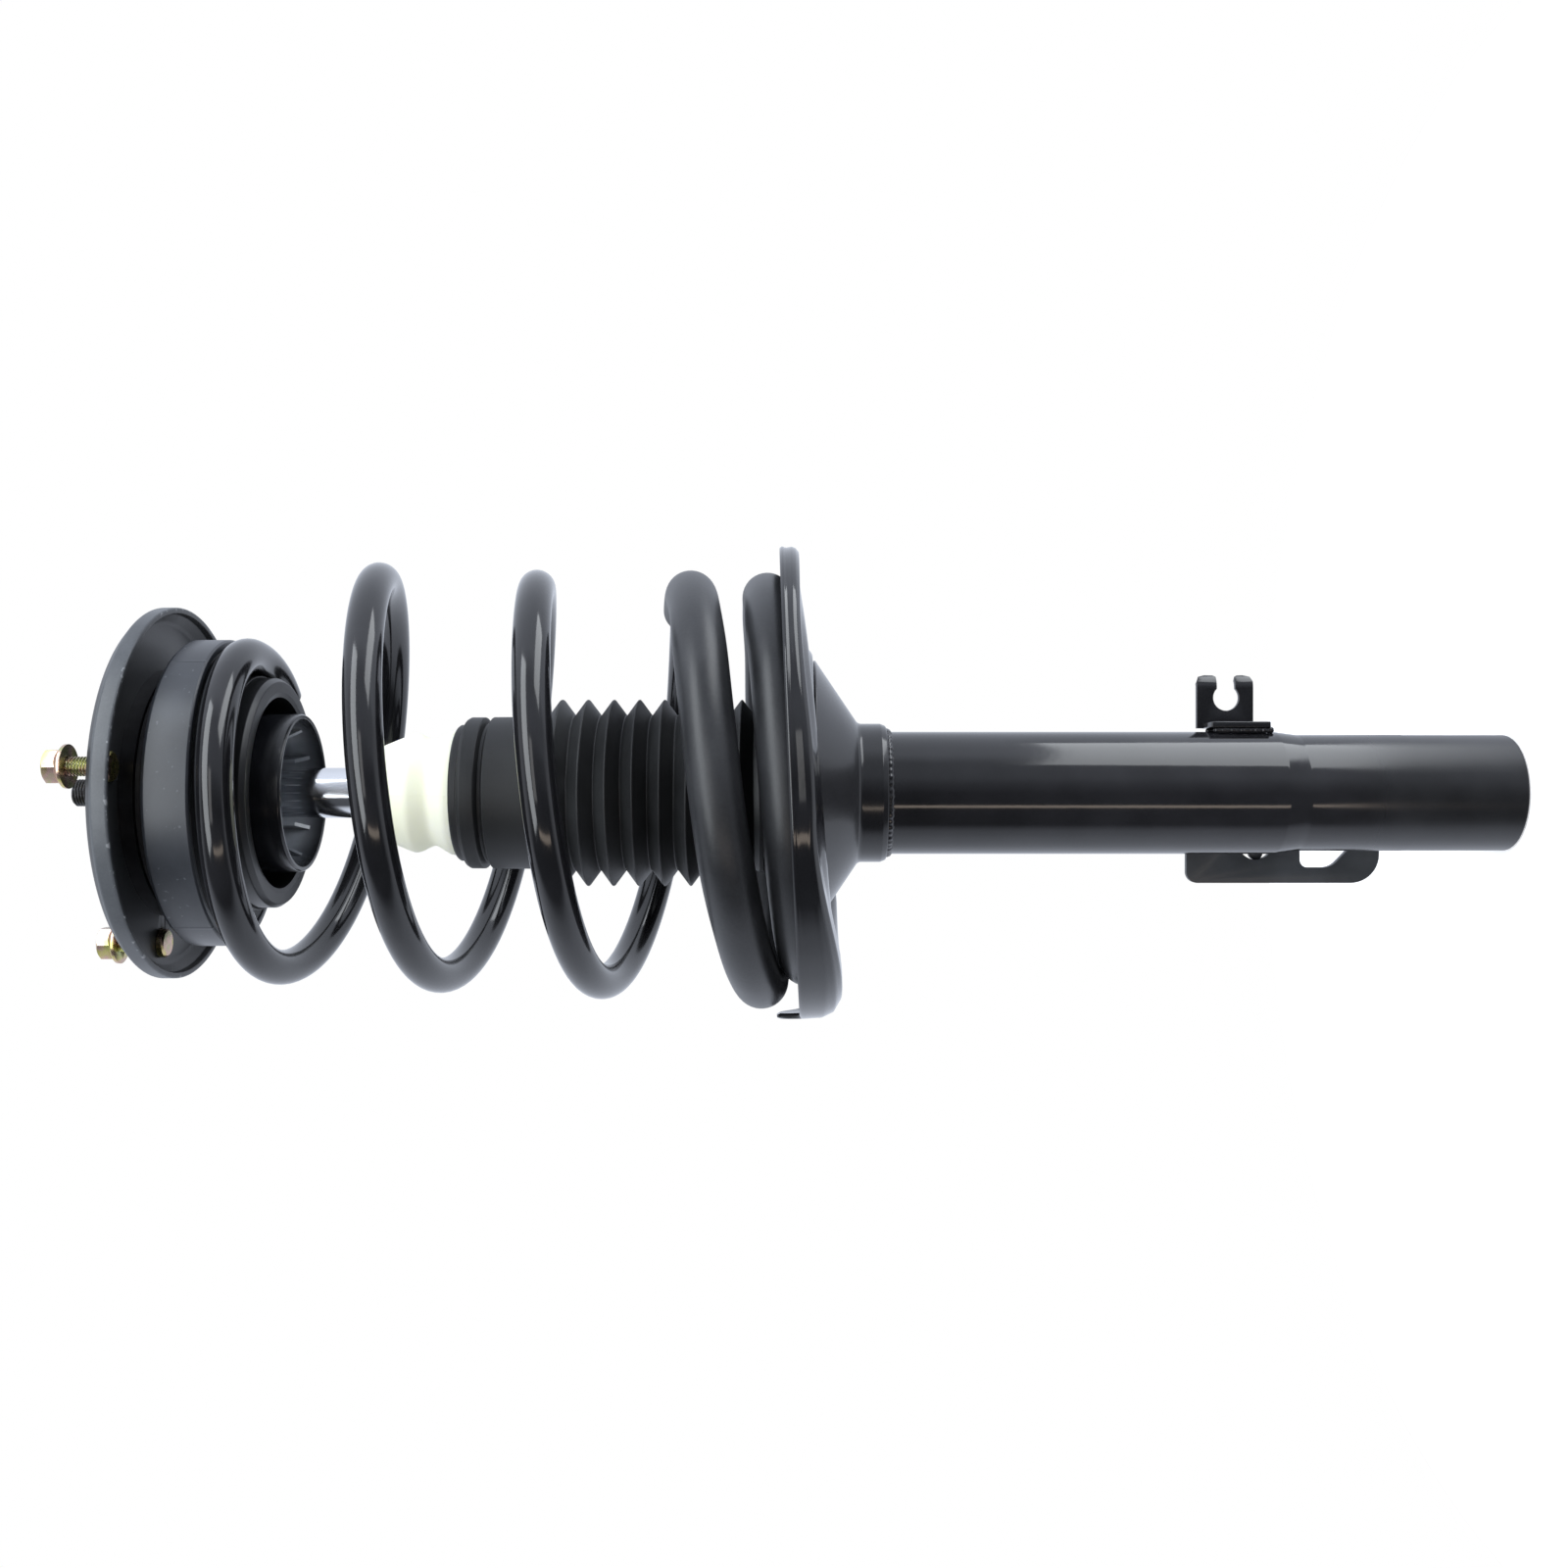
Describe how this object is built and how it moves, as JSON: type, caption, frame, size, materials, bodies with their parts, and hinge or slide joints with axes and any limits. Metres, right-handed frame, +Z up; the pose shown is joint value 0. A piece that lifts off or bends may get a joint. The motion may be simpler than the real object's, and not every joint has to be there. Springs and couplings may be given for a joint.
{
  "type": "suspension strut",
  "caption": "Suspension strut with coil spring, spring seats, ribbed dust boot, bump stop and a round top mount with a bearing.",
  "frame": {"origin": "centre of the damper tube's lower end face", "axes": "+Z up along the damper towards the top mount, +X towards the hose clip"},
  "size_m": [0.2058, 0.2056, 0.628],
  "materials": {
    "black_paint": "gloss black",
    "spring_paint": "gloss black epoxy",
    "e_coat": "satin black",
    "plain_steel": "drawn steel",
    "bearing_steel": "ground steel",
    "sintered_iron": "sintered iron",
    "bush_bronze": "bronze",
    "seal_rubber": "matte",
    "sleeve_rubber": "matte",
    "isolator_rubber": "matte",
    "mount_rubber": "matte",
    "boot_rubber": "matte",
    "seat_plastic": "satin moulded",
    "cage_plastic": "moulded",
    "foam": "pale microcellular foam",
    "yellow_zinc": "yellow zinc plating",
    "hard_chrome": "ground hard chrome"
  },
  "bodies": {
    "strut_tube": {"outer_tube": "black_paint", "base_cup": "black_paint", "foot_valve": "plain_steel", "pressure_tube": "plain_steel", "rod_guide": "sintered_iron", "guide_bush": "bush_bronze", "rod_seal": "seal_rubber", "strike_cap": "plain_steel", "seat_cone": "black_paint", "lower_spring_seat": "black_paint", "hose_clip": "black_paint", "index_bracket": "black_paint", "index_pin": "black_paint", "coil_spring": "spring_paint", "spring_sleeve": "sleeve_rubber"},
    "upper_seat": {"upper_spring_seat": "seat_plastic", "spring_isolator": "isolator_rubber", "lower_race": "bearing_steel"},
    "cage": {"ball_cage": "cage_plastic", "bearing_balls": "bearing_steel"},
    "top_mount": {"upper_race": "bearing_steel", "mount_plate": "e_coat", "mount_rubber": "mount_rubber", "mount_sleeve": "plain_steel", "bumper_cup": "seat_plastic", "studs": "yellow_zinc", "flange_nuts": "yellow_zinc", "rebound_washer": "yellow_zinc", "rod_nut": "yellow_zinc", "piston_rod": "hard_chrome", "piston": "sintered_iron", "piston_ring": "cage_plastic", "valve_discs": "bearing_steel", "piston_nut": "plain_steel", "rebound_stop": "cage_plastic"},
    "bumper": {"bump_stop": "foam", "dust_boot": "boot_rubber"}
  },
  "joints": [
    {"name": "damper_stroke", "type": "slide", "parent": "strut_tube", "child": "upper_seat", "axis": [0, 0, 1], "range_m": [-0.1, 0], "stiffness_N_per_m": 25000, "springref_m": 0.05, "deforming": ["coil_spring", "spring_sleeve"]},
    {"name": "steering_bearing", "type": "hinge", "parent": "upper_seat", "child": "top_mount", "pos_m": [0, 0, 0.5793], "axis": [0, 0, 1], "continuous": true},
    {"name": "cage_roll", "type": "hinge", "parent": "upper_seat", "child": "cage", "pos_m": [0, 0, 0.5793], "axis": [0, 0, 1], "continuous": true},
    {"name": "bump_stop_slide", "type": "slide", "parent": "strut_tube", "child": "bumper", "axis": [0, 0, 1], "range_m": [-0.0531, 0], "deforming": ["dust_boot"]}
  ],
  "couplings": [
    {"joint": "cage_roll", "follows": "steering_bearing", "ratio": 0.5},
    {"joint": "bump_stop_slide", "follows": "damper_stroke", "ratio": 0.53}
  ]
}
